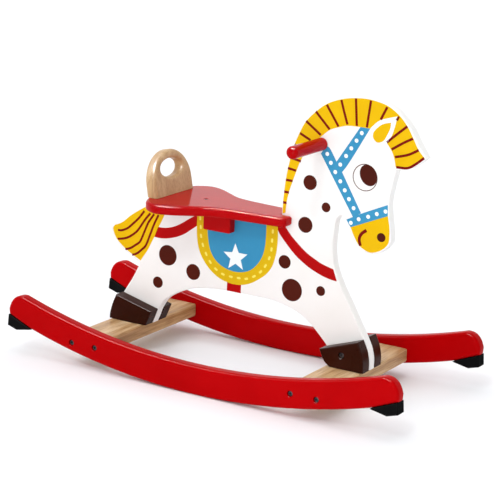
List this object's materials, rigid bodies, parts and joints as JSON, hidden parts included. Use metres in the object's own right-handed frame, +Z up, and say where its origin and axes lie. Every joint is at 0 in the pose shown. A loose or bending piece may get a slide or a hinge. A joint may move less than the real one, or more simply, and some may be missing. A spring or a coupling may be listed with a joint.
{
  "type": "rocking horse",
  "caption": "Wooden toddler's rocking horse: flat cut-out horse on two curved rockers, with a saddle seat, a low backrest and a handle on each side of the neck.",
  "frame": {"origin": "on the floor, midway between the two rockers and under the middle of their arc", "axes": "+X towards the horse's nose, +Y to the horse's left, +Z up"},
  "size_m": [0.668, 0.29, 0.4459],
  "materials": {
    "white_lacquer": "white satin lacquer on a wooden board, with printed decoration on both faces",
    "red_lacquer": "red gloss lacquer on solid wood",
    "brown_lacquer": "dark brown satin lacquer on solid wood",
    "bare_wood": "clear-finished light wood with straight grain",
    "black_rubber": "matt black rubber",
    "print_yellow": "screen-printed ink on the white lacquer: mane, tail, muzzle and saddle border",
    "print_blue": "screen-printed ink: bridle and saddle cloth",
    "print_red": "screen-printed ink: straps and girth",
    "print_maroon": "screen-printed ink: strands of the mane and tail, and the smile",
    "print_brown": "screen-printed ink: spots, pupils and nostrils",
    "print_white": "screen-printed ink: ears, stars, studs and stitches",
    "steel": "blackened steel"
  },
  "bodies": {
    "root": {"horse_panel": "white_lacquer", "seat_board": "red_lacquer", "backrest": "bare_wood", "right_rocker": "red_lacquer", "right_seat_cleat": "red_lacquer", "right_handle": "red_lacquer", "front_right_hoof": "brown_lacquer", "front_right_pad": "black_rubber", "rear_right_hoof": "brown_lacquer", "rear_right_pad": "black_rubber", "left_rocker": "red_lacquer", "left_seat_cleat": "red_lacquer", "left_handle": "red_lacquer", "front_left_hoof": "brown_lacquer", "front_left_pad": "black_rubber", "rear_left_hoof": "brown_lacquer", "rear_left_pad": "black_rubber", "front_crossbar": "bare_wood", "rear_crossbar": "bare_wood", "right_cleat_dowel_front": "bare_wood", "right_cleat_dowel_rear": "bare_wood", "left_cleat_dowel_front": "bare_wood", "left_cleat_dowel_rear": "bare_wood", "handle_stud": "steel", "front_right_rocker_bolt_front": "steel", "front_right_barrel_nut_front": "steel", "front_right_rocker_bolt_rear": "steel", "front_right_barrel_nut_rear": "steel", "front_right_crossbar_screw": "steel", "front_right_pad_screw": "steel", "front_left_rocker_bolt_front": "steel", "front_left_barrel_nut_front": "steel", "front_left_rocker_bolt_rear": "steel", "front_left_barrel_nut_rear": "steel", "front_left_crossbar_screw": "steel", "front_left_pad_screw": "steel", "rear_right_rocker_bolt_front": "steel", "rear_right_barrel_nut_front": "steel", "rear_right_rocker_bolt_rear": "steel", "rear_right_barrel_nut_rear": "steel", "rear_right_crossbar_screw": "steel", "rear_right_pad_screw": "steel", "rear_left_rocker_bolt_front": "steel", "rear_left_barrel_nut_front": "steel", "rear_left_rocker_bolt_rear": "steel", "rear_left_barrel_nut_rear": "steel", "rear_left_crossbar_screw": "steel", "rear_left_pad_screw": "steel", "right_backrest_screw": "steel", "left_backrest_screw": "steel", "front_hoof_bolt": "steel", "rear_hoof_bolt": "steel", "seat_cleat_bolt": "steel", "seat_screw": "steel"}
  },
  "joints": []
}
